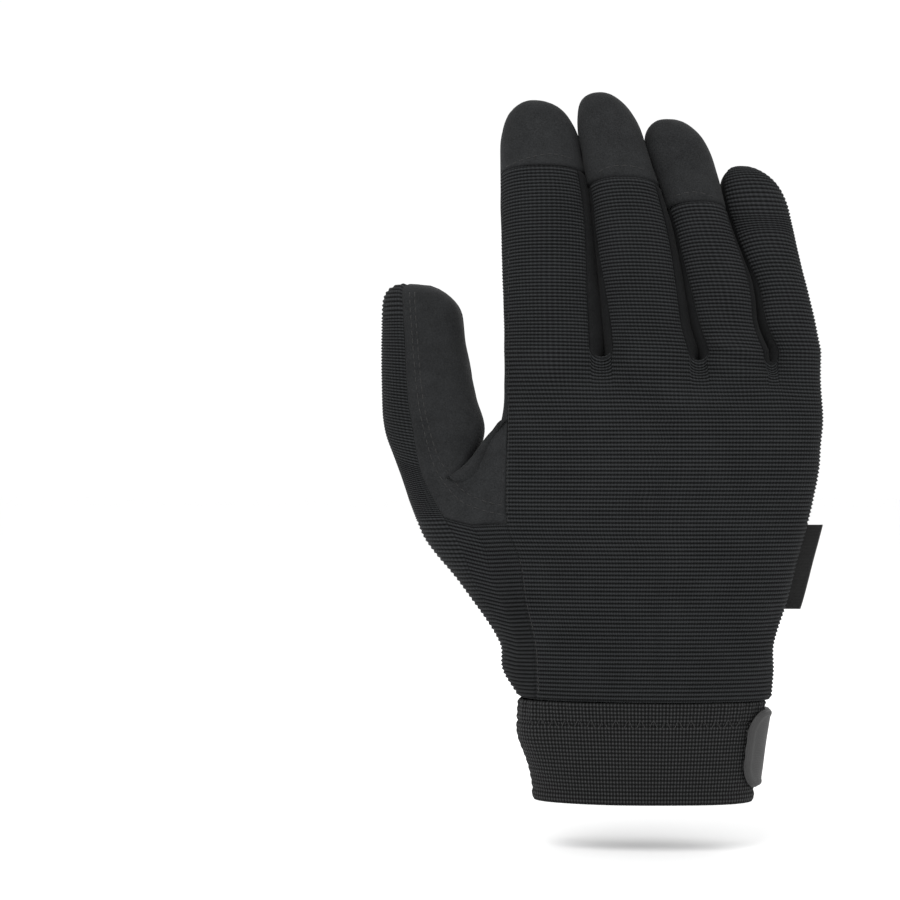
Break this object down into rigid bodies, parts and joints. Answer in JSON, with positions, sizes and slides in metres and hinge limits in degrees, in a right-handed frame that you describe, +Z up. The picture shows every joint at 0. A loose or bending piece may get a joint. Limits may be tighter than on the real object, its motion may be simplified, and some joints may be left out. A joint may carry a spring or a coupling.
{
  "type": "mechanic glove",
  "caption": "Right-hand mechanic glove with a ribbed knit back, a suede palm and fingertips, and an elastic cuff closed by a strap; filled as worn, fingers up.",
  "frame": {"origin": "middle of the wrist opening, at the cuff's rim", "axes": "+Z up along the fingers, -Y out of the back of the hand, +X to the little finger, -X to the thumb"},
  "size_m": [0.1524, 0.0408, 0.2434],
  "materials": {
    "knit": "ribbed knit, matt",
    "suede": "brushed synthetic suede, matt",
    "elastic": "woven elastic, matt",
    "strap": "coated grey fabric, satin",
    "dotted_grip": "raised dots, satin",
    "woven_tag": "woven ribbon, matt"
  },
  "bodies": {
    "root": {"back_panel": "knit", "thumb_back_panel": "knit", "palm_panel": "suede", "thumb_wrap_panel": "suede", "index_fingertip_cap": "suede", "middle_fingertip_cap": "suede", "ring_fingertip_cap": "suede", "fourchette_index_middle": "suede", "fourchette_middle_ring": "suede", "fourchette_ring_pinky": "suede", "index_touch_patch": "dotted_grip", "thumb_touch_patch": "dotted_grip", "cuff_band": "elastic", "closure_strap": "strap", "strap_pad": "strap", "vent_binding": "strap", "side_tag": "woven_tag"}
  },
  "joints": []
}
